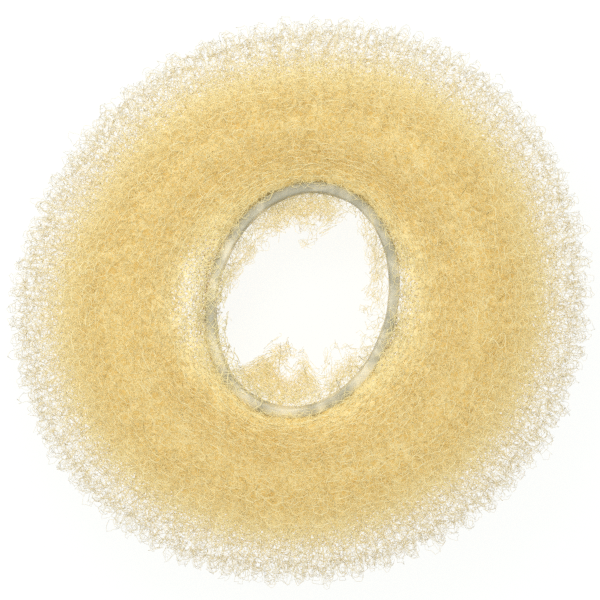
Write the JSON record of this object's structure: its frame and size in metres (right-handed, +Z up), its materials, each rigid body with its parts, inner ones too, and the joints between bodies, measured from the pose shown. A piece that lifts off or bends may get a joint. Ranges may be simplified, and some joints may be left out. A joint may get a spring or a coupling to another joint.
{
  "type": "hair donut bun maker",
  "caption": "Soft ring of rolled, see-through knitted net with an oval elastic at its hole, worn inside a bun of hair.",
  "frame": {"origin": "middle of the ring's box, on the surface that the ring lies on", "axes": "+Z up out of the hole, +X and +Y to the right and to the top of the ring as seen from above"},
  "size_m": [0.0894, 0.0872, 0.028],
  "materials": {
    "net": "golden nylon monofilament, knitted",
    "elastic": "clear grey, satin"
  },
  "bodies": {
    "root": {"net_sleeve": "net", "elastic_band": "elastic"}
  },
  "joints": []
}
